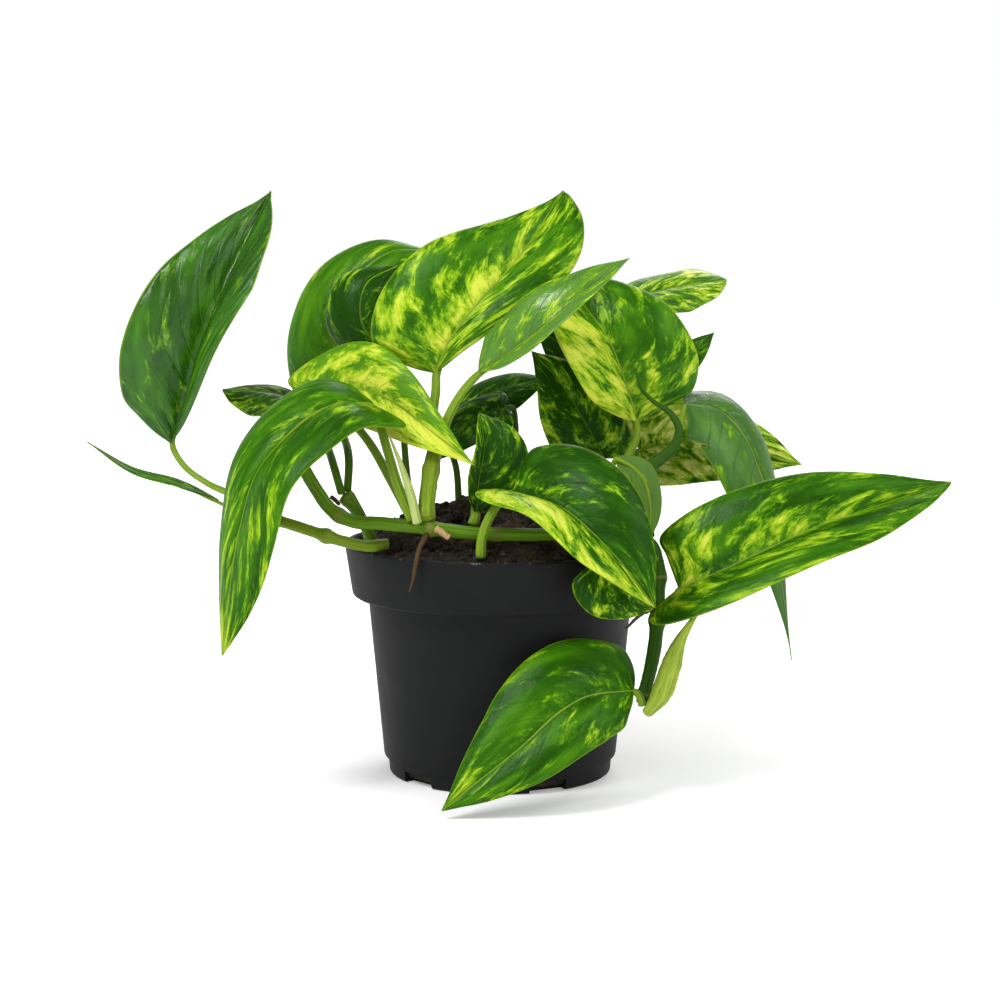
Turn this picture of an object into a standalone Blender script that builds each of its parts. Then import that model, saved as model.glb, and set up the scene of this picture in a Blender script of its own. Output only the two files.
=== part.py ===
"""Golden pothos in a black nursery pot: trailing vines with variegated heart-shaped leaves."""
import bpy
import bmesh
import numpy as np
from mathutils import Vector

NAME = "potted_pothos"
MM = 0.001

# Pot in millimetres, (radius, height): up the inside from the floor, over the lip, down the outside.
FLOOR_TOP = 1.6
POT_INNER = (
    (0.0, FLOOR_TOP), (41.4, FLOOR_TOP), (42.0, 6.6), (43.9, 8.8), (49.6, 70.2), (54.9, 70.9),
    (58.0, 88.8),
)
POT_LIP = ((58.4, 89.5), (59.1, 89.5))
POT_OUTER = (
    (59.5, 89.0), (59.2, 86.5), (56.7, 70.2), (56.0, 69.2), (50.9, 68.6),
    (44.9, 7.0), (43.3, 6.2), (42.8, 0.6), (42.2, 0.0),
)
POT_STEPS = 48
NOTCH_COUNT = 5
NOTCH_FIRST = -47.0
NOTCH_WIDTH = 15.0
NOTCH_HEIGHT = 4.2
NOTCH_INNER = 38.0

# Soil mound: radius against height, then how lumpy it is.
SOIL_GAP = 0.35
SOIL_TOP = ((0.0, 101.5), (14.0, 101.0), (28.0, 99.3), (40.0, 96.3), (49.0, 92.2), (54.5, 89.3))
SOIL_EDGE = 57.3
SOIL_EDGE_Z = 87.2
SOIL_LUMP = 0.9

LEAF_THICK = 0.6
LEAF_ROWS = 10
LEAF_COLS = 3

# Edge of a leaf from the notch at its base round the lobe to the tip: place and width.
OUTLINE = (0.0, 0.07, 0.15, 0.24, 0.34, 0.45, 0.57, 0.70, 0.82, 0.92, 1.0)
WIDTHS = (0.0, 0.25, 0.53, 0.80, 0.96, 1.0, 0.90, 0.67, 0.38, 0.14, 0.0)

# Each leaf: its midrib from base to tip, the half widths to its left and right edge, the shape
# of each edge (place of the widest part, lobe, base fullness, taper), then its stalk from the
# foot up to the base and the stalk's radii.
LEAVES = {
    "leaf_far_left": dict(
        rib=((-126, 0, 127), (-120, -5, 144), (-113, -6, 167), (-101, 2, 195), (-88, 16, 223)),
        left=(-27, -8, 4), right=(10, -18, -4), l=(.36, 0, .5, 1.1), r=(.62, 0, .1, 1),
        stalk=((-85.2, -32.2, 103.9), (-98, -19, 108.5), (-112, -8, 113), (-121, -3, 119)),
        radii=(1.5, 1.3, 1.2), tint="leaf_deep"),
    "leaf_far_left_spear": dict(
        rib=((-108, 0, 105), (-124, 4, 111), (-142, 6, 116), (-159, 5, 127)),
        left=(0, -4, -1), right=(0, 4, 1), l=(.4, 0, .3, 1), r=(.4, 0, .3, 1),
        stalk=((-85.8, -31.6, 100.5), (-92, -21, 101), (-100, -8, 102)),
        radii=(1.1, 1.0, 0.8), tint="leaf_mid"),
    "leaf_left_front": dict(
        rib=((-46, -34, 144), (-58, -40, 146), (-74, -48, 137), (-87, -55, 123), (-94, -60, 100),
             (-98, -59, 76), (-101, -55, 55)),
        left=(10, -20, -8), right=(-9, 15, 8), left2=(19, -12, 0), right2=(-9, 14, 0),
        l=(.40, .06, 1, .85), r=(.36, .02, .8, .8),
        stalk=((-32.2, -47, 104), (-36.5, -45, 114), (-41, -41, 128), (-45, -35.5, 140)),
        radii=(2.0, 1.8, 1.6), tint="leaf_mid"),
    "leaf_left_gold": dict(
        rib=((-67, -8, 146), (-55, -12, 149), (-40, -23, 145), (-25, -37, 135), (-9, -42, 123)),
        left=(-6, 8, 15), left2=(7, 2, 13), right=(-2, -8, -12),
        l=(.20, .18, 1, 1.2), r=(.3, .15, 1, 1),
        stalk=((-33, -41, 104.4), (-40, -33, 116), (-50, -21, 131), (-61, -10, 141)),
        radii=(1.9, 1.7, 1.5), tint="leaf_gold"),
    "leaf_left_small": dict(
        rib=((-76, 12, 143), (-90, 10, 146), (-107, 8, 147)),
        left=(0, -9, -9), right=(0, 8, 2), l=(.6, 0, .4, .7), r=(.4, 0, .5, 1),
        stalk=((-58.8, -30.8, 111.4), (-61, -29, 119), (-65, -14, 127), (-71, 4, 137)),
        radii=(1.5, 1.6, 1.3), tint="leaf_deep"),
    "leaf_back_left_tall": dict(
        rib=((-68, 34, 136), (-67, 42, 166), (-58, 48, 188), (-43, 52, 199), (-26, 56, 199)),
        left=(-16, 14, 7), right=(16, -6, -8), l=(.35, .02, .6, 1), r=(.4, .05, 1, 1),
        stalk=((-56.8, -27.7, 112), (-56.5, -22, 122), (-60, -4, 131), (-66, 20, 133)),
        radii=(1.5, 1.6, 1.4), tint="leaf_mid"),
    "leaf_back_left_round": dict(
        rib=((-43, 18, 157), (-54, 18, 174), (-52, 22, 187), (-40, 28, 194)),
        left=(-14, 8, 2), right=(16, 6, 0), l=(.4, .05, 1, .9), r=(.4, .05, 1, .9),
        stalk=((-34, 4, 98.4), (-36, 6, 115), (-38, 10, 135), (-41, 15, 150)),
        radii=(1.5, 1.3, 1.1), tint="leaf_deep"),
    "leaf_top_centre": dict(
        rib=((-24, -16, 155), (-20, -17, 165), (-11, -16, 178), (0, -11, 190), (11, -2, 203),
             (24, 13, 223)),
        left=(-26, 6, 18), right=(18, -6, -7), l=(.24, .03, .9, 1.3), r=(.66, 0, .1, .55),
        stalk=((-25.4, -30.8, 131.5), (-25, -25, 140), (-24, -19, 149)),
        radii=(1.9, 1.8, 1.7), tint="leaf_gold"),
    "leaf_top_folded": dict(
        rib=((-8, -25, 156), (8, -31, 167), (21, -33, 178), (35, -29, 189), (48, -20, 198)),
        left=(-8, 8, 9), right=(2, -7, -3), l=(.4, 0, .6, 1), r=(.4, 0, .5, 1),
        stalk=((-21.9, -31.6, 131.8), (-19, -30.5, 140), (-13, -27, 150)),
        radii=(1.8, 1.8, 1.5), tint="leaf_pale"),
    "leaf_right_upper": dict(
        rib=((52, -5, 136), (47, -8, 152), (41, -6, 167), (33, 0, 178), (22, 8, 190)),
        left=(-18, -14, -3), right=(26, 6, 14), l=(.5, 0, .35, .8), r=(.3, 0, .8, .85),
        stalk=((38, -12, 98.2), (42, -14, 112), (49, -10, 124), (52, -6, 131)),
        radii=(1.8, 1.7, 1.6), tint="leaf_gold"),
    "leaf_back_right": dict(
        rib=((48, 42, 180), (70, 44, 185), (90, 40, 188)),
        left=(0, 14, 6), right=(3, -12, -9), l=(.5, 0, .6, .8), r=(.6, 0, .6, .5),
        stalk=((26, 26, 97.5), (30, 32, 125), (38, 40, 158), (44, 42, 175)),
        radii=(1.4, 1.2, 1.0), tint="leaf_cream"),
    "leaf_back_right_tip": dict(
        rib=((64, 22, 150), (75, 24, 160), (84, 26, 168)),
        left=(-3, 6, 5), right=(3, -6, -5), l=(.3, .05, 1, 1), r=(.3, .05, 1, 1),
        stalk=((34, 24, 97.2), (40, 30, 115), (47, 32, 132), (58, 25, 146)),
        radii=(1.2, 1.0, 0.9), tint="leaf_deep"),
    "leaf_back_centre": dict(
        rib=((-20, 25, 136), (-2, 27, 145), (18, 28, 150)),
        left=(0, 10, 5), right=(2, -10, -9), l=(.5, 0, .7, .8), r=(.5, 0, .7, .8),
        stalk=((-16, 14, 101), (-17, 16, 115), (-21, 22, 130)),
        radii=(1.4, 1.3, 1.2), tint="leaf_deep"),
    "leaf_back_low": dict(
        rib=((2, 8, 140), (-10, 8, 136), (-20, 7, 128), (-29, 6, 118)),
        left=(4, -9, -8), right=(-4, 9, 5), l=(.35, .05, 1, 1), r=(.35, .05, 1, 1),
        stalk=((-4, 14, 102.6), (3, 17, 116), (6, 15, 133), (4, 10, 140)),
        radii=(1.4, 1.3, 1.1), tint="leaf_deep"),
    "leaf_back_middle": dict(
        rib=((42, 22, 143), (36, 24, 152), (26, 26, 162), (14, 26, 170)),
        left=(-10, 4, -9), right=(9, -3, 10), l=(.35, .05, 1, 1), r=(.35, .05, 1, 1),
        stalk=((14, 26, 99.3), (22, 26, 112), (36, 24, 130), (42, 22, 138)),
        radii=(1.3, 1.2, 1.1), tint="leaf_deep"),
    "leaf_centre_upright": dict(
        rib=((-9, -30, 104), (-8, -30, 116), (-6, -29, 128), (-8, -27, 141)),
        left=(-4, -8, 0), right=(18, 8, -2), l=(.4, 0, .4, 1), r=(.5, 0, .5, .8),
        stalk=((-10, -32, 100), (-9.5, -31.5, 101.6), (-9, -30.5, 103)),
        radii=(2.2, 2.0, 1.8), tint="leaf_deep"),
    "leaf_centre_olive": dict(
        rib=((40, 2, 121), (32, 4, 136), (23, 6, 150), (12, 6, 162)),
        left=(-14, -6, -8), right=(12, 6, 8), l=(.3, .05, 1, 1), r=(.3, .05, 1, 1),
        stalk=((28, 4, 100.8), (33, 3, 108), (39, 2, 117)),
        radii=(1.6, 1.5, 1.3), tint="leaf_olive"),
    "leaf_front": dict(
        rib=((4, -45, 114), (22, -60, 110), (39, -71, 96), (55, -74, 76)),
        left=(11, 10, 19), right=(-10, -16, -2), right2=(-5, -18, -10),
        l=(.38, .03, 1, .9), r=(.40, .10, 1, .9),
        stalk=((-7, -53.2, 91.0), (-6.5, -53.6, 98), (-4, -52.5, 105), (1, -48.5, 111.5)),
        radii=(2.0, 1.7, 1.6), tint="leaf_gold"),
    "leaf_rim": dict(
        rib=((36, -58, 91), (45, -60, 82), (55, -61, 73)),
        left=(9, 6, 10), right=(-11, -4, -12), l=(.35, .05, 1, .8), r=(.35, .05, 1, .8),
        stalk=((57.2, -38, 88), (53, -48, 92), (46, -53, 95), (38, -57, 93)),
        radii=(1.3, 1.2, 1.1), tint="leaf_deep"),
    "leaf_right_hood": dict(
        rib=((42, -45, 125), (50, -44, 121), (54, -44, 112), (55, -45, 104), (54, -47, 96)),
        left=(-6, -6, 0), right=(6, 6, 0), l=(.4, 0, .7, 1), r=(.4, 0, .7, 1),
        stalk=((37, -27, 94.8), (38, -32, 106), (40, -40, 118), (41, -44, 123)),
        radii=(1.5, 1.3, 1.1), tint="leaf_pale"),
    "leaf_right_large": dict(
        rib=((66, -39, 77), (81, -42, 84), (99, -43, 93), (118, -41, 101), (140, -38, 108),
             (167, -33, 116)),
        left=(-9, 10, 22), right=(4, -18, -9), l=(.25, .0, 1, 1), r=(.5, .12, 1, .75),
        stalk=((62.6, -38.6, 72.6), (64.3, -39.2, 73.6), (65.6, -39.4, 75.6)),
        radii=(1.6, 1.5, 1.4), tint="leaf_gold"),
    "leaf_low_front": dict(
        rib=((49, -50, 41), (30, -63, 41), (5, -73, 23), (-21, -78, 3)),
        left=(6, -8, -15), right=(-11, 10, 18), l=(.35, 0, .55, .9), r=(.30, .05, 1, 1),
        stalk=((52.0, -52.4, 36), (51.5, -52.4, 38.4), (50, -51, 40.5)),
        radii=(1.5, 1.4, 1.3), tint="leaf_mid"),
    "leaf_right_cream": dict(
        rib=((55, 25, 122), (75, 28, 125), (97, 28, 122), (119, 25, 116)),
        left=(0, 12, 16), right=(-4, -12, -15), l=(.3, .05, 1, 1), r=(.3, .05, 1, 1),
        stalk=((40, 10, 97), (45, 15, 106), (51, 21, 117)),
        radii=(1.6, 1.4, 1.3), tint="leaf_cream"),
    "leaf_right_droop": dict(
        rib=((71, 0, 142), (83, 2, 140), (94, 0, 129), (100, -3, 114), (106, -6, 85),
             (112, -8, 44)),
        left=(6, 12, 3), right=(-14, -12, -9), l=(.25, 0, 1, 1.8), r=(.25, 0, 1, 1.8),
        stalk=((67.3, -12.3, 131), (68.5, -7, 135), (70, -2.5, 140)),
        radii=(1.4, 1.3, 1.2), tint="leaf_grey"),
}

# Stems: (points, radii, sides of the round, segments, finish).
STEMS = {
    "vine_front": (((33, -38, 95.2), (22, -42, 97.3), (8, -45.6, 98), (-7, -46.5, 98.5), (-26, -45.8, 100.5),
                    (-44, -40, 101.5), (-55, -38.5, 102.3), (-62, -37, 106), (-68, -36, 114),
                    (-73, -37, 123)), (2.1, 2.5, 2.5, 2.5, 2.4), 16, "stem_green"),
    "vine_left_low": (((-42, -32, 92.6), (-49, -36.5, 92.6), (-57, -39.5, 94.6), (-66, -40, 97.5),
                       (-75, -37, 100), (-84.5, -32.5, 102.2)), (2.1, 2.1, 2.1), 12, "stem_pale"),
    "vine_left_fork": (((-47.5, -24, 91.4), (-50.5, -27, 99), (-54, -29.5, 106), (-57.5, -29.3, 110.5)),
                       (1.9, 2.2, 2.8), 8, "stem_green"),
    "vine_right": (((44, -30, 92.4), (50, -32, 95.4), (55.5, -33, 93), (58.3, -35, 86), (58.5, -37.5, 74),
                    (57, -43, 56), (52.3, -48.5, 36)), (2.3, 2.6, 2.6, 2.6, 2.2), 16, "stem_dark"),
    "stem_centre": (((-27, -47, 104.2), (-26.5, -43, 112), (-25, -36, 123), (-23.5, -31.2, 130.5)),
                    (3.1, 3.1, 2.8), 8, "stem_pale"),
    "shoot_curled": (((42, -22, 94.9), (47, -19, 108), (53, -15, 117), (60, -14, 122), (66, -15, 128),
                      (67.3, -15, 134), (64, -16, 140), (57, -17, 145), (52.5, -17, 150),
                      (51, -16, 156)), (2.4, 2.8, 2.6, 1.7, 0.9, 0.35), 20, "stem_dark"),
    "sheath_pale": (((-30, -50.7, 103), (-32, -49.5, 112), (-36, -47.5, 124), (-40.5, -45.5, 135)),
                    (1.7, 1.7, 1.0, 0.3), 8, "sheath_pale"),
    "leaf_young_rolled": (((53.9, -51.8, 32.8), (58.6, -54.5, 40), (62, -55, 50), (65.5, -54, 60),
                           (73, -52, 72)),
                          (2.0, 4.2, 3.8, 1.8, 0.4), 12, "leaf_pale"),
    "root_front": (((-26.5, -48, 98.6), (-29, -52.6, 94.6), (-30.5, -54.5, 89), (-31.5, -53.5, 83),
                    (-33, -52, 78)), (0.9, 0.8, 0.6, 0.3), 8, "root_brown"),
    "root_vine_right": (((56.4, -42.4, 70.2), (52, -46, 68.8), (46, -49.5, 64)),
                        (0.8, 0.7, 0.4), 6, "root_brown"),
    "root_left": (((-62.4, -34, 110.6), (-60.8, -32.6, 109), (-59.6, -31.6, 107.4)),
                  (0.7, 0.8, 0.6), 6, "root_brown"),
    "stub_cut": (((-23.2, -50.1, 101), (-21, -51.3, 99.6), (-18.5, -52.4, 98)),
                 (1.2, 1.1, 1.0), 4, "stub_tan"),
}

FINISHES = {
    "leaf_deep": ((0.030, 0.120, 0.018), 0.38),
    "leaf_mid": ((0.075, 0.220, 0.025), 0.40),
    "leaf_gold": ((0.220, 0.400, 0.030), 0.40),
    "leaf_cream": ((0.300, 0.380, 0.120), 0.42),
    "leaf_olive": ((0.120, 0.150, 0.030), 0.45),
    "leaf_pale": ((0.250, 0.400, 0.100), 0.38),
    "leaf_grey": ((0.070, 0.170, 0.060), 0.42),
    "stem_green": ((0.130, 0.270, 0.040), 0.45),
    "stem_pale": ((0.250, 0.400, 0.090), 0.45),
    "stem_dark": ((0.045, 0.150, 0.020), 0.45),
    "sheath_pale": ((0.420, 0.520, 0.220), 0.50),
    "root_brown": ((0.090, 0.045, 0.020), 0.85),
    "stub_tan": ((0.450, 0.300, 0.160), 0.80),
    "pot_plastic": ((0.022, 0.023, 0.024), 0.55),
    "soil_dark": ((0.022, 0.012, 0.007), 0.95),
}


def finish(name):
    """The named finish, made once."""
    known = bpy.data.materials.get(name)
    if known:
        return known
    colour, rough = FINISHES[name]
    mat = bpy.data.materials.new(name)
    mat.use_nodes = True
    shader = mat.node_tree.nodes["Principled BSDF"]
    shader.inputs["Base Color"].default_value = (*colour, 1.0)
    shader.inputs["Roughness"].default_value = rough
    shader.inputs["Metallic"].default_value = 0.0
    mat.diffuse_color = (*colour, 1.0)
    return mat


def add_object(name, mesh, slot, home):
    obj = bpy.data.objects.new(name, mesh)
    home.objects.link(obj)
    if slot:
        mesh.materials.clear()
        mesh.materials.append(finish(slot))
    return obj


def smooth(obj):
    obj.data.shade_smooth()


def spline(keys, values, at):
    """Smooth curve through the values at the keys."""
    keys = np.asarray(keys, float)
    values = np.asarray(values, float)
    at = np.clip(np.asarray(at, float), keys[0], keys[-1])
    gap = np.diff(keys)
    rise = (np.diff(values, axis=0).T / gap).T
    slope = np.empty_like(values)
    slope[0] = rise[0]
    slope[-1] = rise[-1]
    slope[1:-1] = ((rise[:-1].T * gap[1:] + rise[1:].T * gap[:-1]) / (gap[:-1] + gap[1:])).T
    i = np.clip(np.searchsorted(keys, at) - 1, 0, len(keys) - 2)
    t = (at - keys[i]) / gap[i]
    start = (2 * t**3 - 3 * t**2 + 1) * values[i].T + (t**3 - 2 * t**2 + t) * gap[i] * slope[i].T
    end = (-2 * t**3 + 3 * t**2) * values[i + 1].T + (t**3 - t**2) * gap[i] * slope[i + 1].T
    return (start + end).T


def run_of(points):
    """Share of the way along a chain of points at each of them."""
    step = np.linalg.norm(np.diff(points, axis=0), axis=1)
    return np.concatenate(([0.0], np.cumsum(step))) / step.sum()


def along(points, at):
    """Points at shares of the way along the smooth curve through the given ones."""
    points = np.asarray(points, float)
    fine = spline(run_of(points), points, np.linspace(0, 1, 200))
    run = run_of(fine)
    at = np.asarray(at, float)
    inside = np.clip(at, 0, 1)
    place = np.stack([np.interp(inside, run, fine[:, k]) for k in range(3)], -1)
    length = np.linalg.norm(np.diff(fine, axis=0), axis=1).sum()
    start = fine[6] - fine[0]
    start = start / np.linalg.norm(start)
    return place + (np.minimum(at, 0) * length)[..., None] * start


def heading(points, at):
    step = along(points, np.minimum(at + 0.02, 1)) - along(points, np.maximum(at - 0.02, -0.2))
    return step / np.linalg.norm(step, axis=-1, keepdims=True)


def edge_shape(e, peak, lobe, full, taper):
    """How far along and how wide one edge of a leaf is at each step from notch to tip."""
    wide = np.asarray(WIDTHS)
    heart = np.array((0.0, -0.75 * lobe, -lobe, -0.4 * lobe, 0.40 * peak, peak))
    wedge = peak * wide[:6] ** 1.3
    head = full * heart + (1 - full) * wedge
    tail = peak + (1 - peak) * np.array((0.27, 0.52, 0.75, 0.90, 1.0))
    place = spline(OUTLINE, np.concatenate((head, tail)), e)
    width = np.clip(spline(OUTLINE, wide, e), 0, 1)
    return place, np.where(e > OUTLINE[5], width ** taper, width)


def leaf_points(leaf, rows, cols):
    """Points of a leaf blade: rows from base to tip, columns from left edge over midrib to right."""
    e = np.linspace(0, 1, rows + 1)
    root = e ** 1.25
    grid = np.zeros((rows + 1, 2 * cols + 1, 3))
    for j in range(2 * cols + 1):
        q = abs(j - cols) / cols
        side = "left" if j < cols else "right"
        sign = -1.0 if j < cols else 1.0
        place, width = edge_shape(e, *leaf[side[0]])
        at = root + (place - root) * q
        ahead = heading(leaf["rib"], at)
        near = np.asarray(leaf[side], float)
        far = np.asarray(leaf.get(side + "2", leaf[side]), float)
        mix = np.clip((at - 0.2) / 0.6, 0, 1)[:, None]
        mix = mix * mix * (3 - 2 * mix)
        out = near * (1 - mix) + far * mix
        half = np.linalg.norm(out, axis=1, keepdims=True)
        out = out - ahead * (out * ahead).sum(1, keepdims=True)
        out = out / np.linalg.norm(out, axis=1, keepdims=True)
        up = np.cross(out, ahead) * sign
        up = up / np.linalg.norm(up, axis=1, keepdims=True)
        span = half * width[:, None]
        grid[:, j] = along(leaf["rib"], at) + span * q * out + span * 0.4 * q * (1 - q) * up
    return grid


def sheet(name, grid):
    """Mesh of a leaf blade, its first and last rows each drawn to one point."""
    rows, wide = grid.shape[0] - 1, grid.shape[1]
    middle = wide // 2
    points = [grid[0, middle], grid[rows, middle]]
    for i in range(1, rows):
        points.extend(grid[i])
    faces = []
    for i in range(rows):
        for j in range(wide - 1):
            ring = []
            for r, c in ((i, j), (i, j + 1), (i + 1, j + 1), (i + 1, j)):
                index = 0 if r == 0 else 1 if r == rows else 2 + (r - 1) * wide + c
                if index not in ring:
                    ring.append(index)
            faces.append(ring)
    mesh = bpy.data.meshes.new(name)
    mesh.from_pydata([Vector(p) * MM for p in points], [], faces)
    mesh.update()
    return mesh


def tube(name, points, radii, segments, slot, home, roundness=1):
    """A round stem along a smooth curve, capped, as a closed mesh."""
    curve = bpy.data.curves.new(name, "CURVE")
    curve.dimensions = "3D"
    curve.bevel_depth = MM
    curve.bevel_resolution = roundness
    curve.use_fill_caps = True
    at = np.linspace(0, 1, segments + 1)
    path = along(points, at)
    wide = np.interp(at, np.linspace(0, 1, len(radii)), radii)
    line = curve.splines.new("POLY")
    line.points.add(segments)
    for point, place, radius in zip(line.points, path, wide):
        point.co = (*(Vector(place) * MM), 1.0)
        point.radius = radius
    holder = bpy.data.objects.new(name + "_curve", curve)
    home.objects.link(holder)
    bpy.context.view_layer.update()
    shape = holder.evaluated_get(bpy.context.evaluated_depsgraph_get())
    mesh = bpy.data.meshes.new_from_object(shape)
    bpy.data.objects.remove(holder)
    weld(mesh)
    mesh.name = name
    obj = add_object(name, mesh, slot, home)
    smooth(obj)
    return obj


def weld(mesh):
    body = bmesh.new()
    body.from_mesh(mesh)
    bmesh.ops.remove_doubles(body, verts=body.verts, dist=0.00001)
    bmesh.ops.recalc_face_normals(body, faces=body.faces)
    body.to_mesh(mesh)
    body.free()


def apply_modifiers(obj):
    bpy.context.view_layer.update()
    shape = obj.evaluated_get(bpy.context.evaluated_depsgraph_get())
    mesh = bpy.data.meshes.new_from_object(shape)
    mesh.name = obj.name
    obj.modifiers.clear()
    obj.data = mesh


def combine(obj, other, operation, cutters):
    """Boolean of one object with another, the other kept hidden beside it."""
    for home in list(other.users_collection):
        home.objects.unlink(other)
    cutters.objects.link(other)
    other.hide_render = True
    other.display_type = "WIRE"
    mod = obj.modifiers.new(operation.lower(), "BOOLEAN")
    mod.solver = "EXACT"
    mod.operation = operation
    mod.object = other


def leaf(name, spec, home, cutters):
    """One leaf: blade with its thickness, and its stalk running on under it as the midrib."""
    blade = add_object(name, sheet(name, leaf_points(spec, LEAF_ROWS, LEAF_COLS)), spec["tint"], home)
    thick = blade.modifiers.new("thickness", "SOLIDIFY")
    thick.thickness = LEAF_THICK * MM
    thick.offset = 0.0
    at = np.array((0.0, 0.1, 0.22))
    ahead = heading(spec["rib"], at)
    across = np.asarray(spec["right"], float) - np.asarray(spec["left"], float)
    under = np.cross(ahead, across)
    under = under / np.linalg.norm(under, axis=1, keepdims=True) * np.array(((0.9,), (0.8,), (0.3,)))
    points = list(spec["stalk"]) + list(along(spec["rib"], at) + under)
    radii = tuple(spec["radii"]) + (spec["radii"][-1] * 0.75, 0.4)
    stalk = tube(name + "_stalk", points, radii, 9, spec["tint"], home)
    combine(blade, stalk, "UNION", cutters)
    smooth(blade)
    return blade


def revolve(name, profile, steps, slot, home):
    """A round piece from its outline: the profile stands at +X and is turned about Z."""
    mesh = bpy.data.meshes.new(name)
    points = [(x * MM, 0.0, z * MM) for x, z in profile]
    mesh.from_pydata(points, [(i, i + 1) for i in range(len(points) - 1)], [])
    obj = add_object(name, mesh, slot, home)
    turn = obj.modifiers.new("turn", "SCREW")
    turn.steps = steps
    turn.render_steps = steps
    turn.use_merge_vertices = True
    turn.merge_threshold = 0.00005
    return obj


def pot(home, cutters):
    body = revolve("pot", POT_INNER + POT_LIP + POT_OUTER + ((0.0, 0.0),), POT_STEPS, "pot_plastic", home)
    for k in range(NOTCH_COUNT):
        angle = np.radians(NOTCH_FIRST + k * 360.0 / NOTCH_COUNT)
        away = Vector((np.sin(angle), -np.cos(angle), 0.0))
        reach = 48.0 - NOTCH_INNER
        mesh = bpy.data.meshes.new("notch_%d" % k)
        block = bmesh.new()
        bmesh.ops.create_cube(block, size=1.0)
        block.to_mesh(mesh)
        block.free()
        cut = add_object("notch_%d" % k, mesh, None, home)
        cut.scale = (reach * MM, NOTCH_WIDTH * MM, 2 * NOTCH_HEIGHT * MM)
        cut.rotation_euler = (0.0, 0.0, angle - np.pi / 2)
        cut.location = away * (NOTCH_INNER + reach / 2) * MM
        combine(body, cut, "DIFFERENCE", cutters)
    smooth(body)
    return body


def lump(x, y):
    """Uneven crumbly height of the soil surface at a place."""
    return (np.sin(0.31 * x + 0.8) * np.cos(0.27 * y - 0.4) + 0.6 * np.sin(0.53 * x - 0.41 * y + 2.0)
            + 0.5 * np.cos(0.19 * x + 0.62 * y + 1.1))


def soil(home):
    """Potting soil filling the pot, mounded in the middle."""
    sides = [(r - SOIL_GAP, z + SOIL_GAP) for r, z in reversed(POT_INNER[1:6])]
    profile = SOIL_TOP + ((SOIL_EDGE, SOIL_EDGE_Z),) + tuple(sides) + ((0.0, FLOOR_TOP + SOIL_GAP),)
    body = revolve("soil", profile, 36, "soil_dark", home)
    apply_modifiers(body)
    for vert in body.data.vertices:
        x, y, z = (c / MM for c in vert.co)
        if z > SOIL_EDGE_Z + 0.5:
            vert.co.z += SOIL_LUMP * lump(x, y) * MM
    weld(body.data)
    smooth(body)
    return body


def clump(home):
    """Dark chunk of potting bark lying on the soil at the right."""
    mesh = bpy.data.meshes.new("bark_chunk")
    body = bmesh.new()
    bmesh.ops.create_icosphere(body, subdivisions=2, radius=MM)
    for vert in body.verts:
        x, y, z = vert.co / MM
        bump = 1.0 + 0.16 * np.sin(5 * x + 1) * np.cos(4 * z) + 0.12 * np.sin(7 * y + 3 * z)
        vert.co = Vector((x * 4.2, y * 5.5, z * 5.0)) * bump * MM
    body.to_mesh(mesh)
    body.free()
    obj = add_object("bark_chunk", mesh, "soil_dark", home)
    obj.location = Vector((55.0, -9.0, 95.6)) * MM
    smooth(obj)
    return obj


def build():
    for obj in list(bpy.data.objects):
        bpy.data.objects.remove(obj)
    home = bpy.data.collections.new(NAME)
    cutters = bpy.data.collections.new(NAME + "_cutters")
    bpy.context.scene.collection.children.link(home)
    bpy.context.scene.collection.children.link(cutters)
    cutters.hide_render = True
    pot(home, cutters)
    soil(home)
    clump(home)
    for name, (points, radii, segments, slot) in STEMS.items():
        tube(name, points, radii, segments, slot, home)
    for name, spec in LEAVES.items():
        leaf(name, spec, home, cutters)


build()
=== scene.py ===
"""Golden pothos in a black nursery pot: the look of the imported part."""

import bpy
import bmesh
import numpy as np
from mathutils import Euler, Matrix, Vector, noise


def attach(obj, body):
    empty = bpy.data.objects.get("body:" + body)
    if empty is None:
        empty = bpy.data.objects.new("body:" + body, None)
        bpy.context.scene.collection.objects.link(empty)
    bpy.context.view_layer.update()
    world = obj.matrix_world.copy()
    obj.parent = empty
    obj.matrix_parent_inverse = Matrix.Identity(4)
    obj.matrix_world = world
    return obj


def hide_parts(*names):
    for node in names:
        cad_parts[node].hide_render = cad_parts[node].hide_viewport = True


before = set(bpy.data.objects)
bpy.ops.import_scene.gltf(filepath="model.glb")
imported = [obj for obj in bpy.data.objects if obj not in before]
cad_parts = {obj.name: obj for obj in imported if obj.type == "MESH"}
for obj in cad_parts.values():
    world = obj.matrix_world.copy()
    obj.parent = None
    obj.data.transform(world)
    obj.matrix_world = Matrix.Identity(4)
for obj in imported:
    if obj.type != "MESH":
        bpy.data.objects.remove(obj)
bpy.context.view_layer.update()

MM = 0.001
LEAF_THICK = 0.5
LEAF_ROWS = 60
LEAF_COLS = 12

# Side veins of a leaf: how many, and how far along the blade they run on their way to the edge.
VEINS = 10.0
VEIN_LEAN = 0.28

# Rib under a leaf: places along the midrib and how deep below it the rib's middle lies.
RIB_PLACES = (0.0, 0.06, 0.16, 0.34, 0.6, 0.9)
RIB_DEPTHS = (0.9, 0.8, 0.5, 0.42, 0.35, 0.25)
RIB_RADII = (0.75, 0.6, 0.45, 0.25)

# Edge of a leaf from the notch at its base round the lobe to the tip: place and width.
OUTLINE = (0.0, 0.07, 0.15, 0.24, 0.34, 0.45, 0.57, 0.70, 0.82, 0.92, 1.0)
WIDTHS = (0.0, 0.25, 0.53, 0.80, 0.96, 1.0, 0.90, 0.67, 0.38, 0.14, 0.0)

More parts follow.
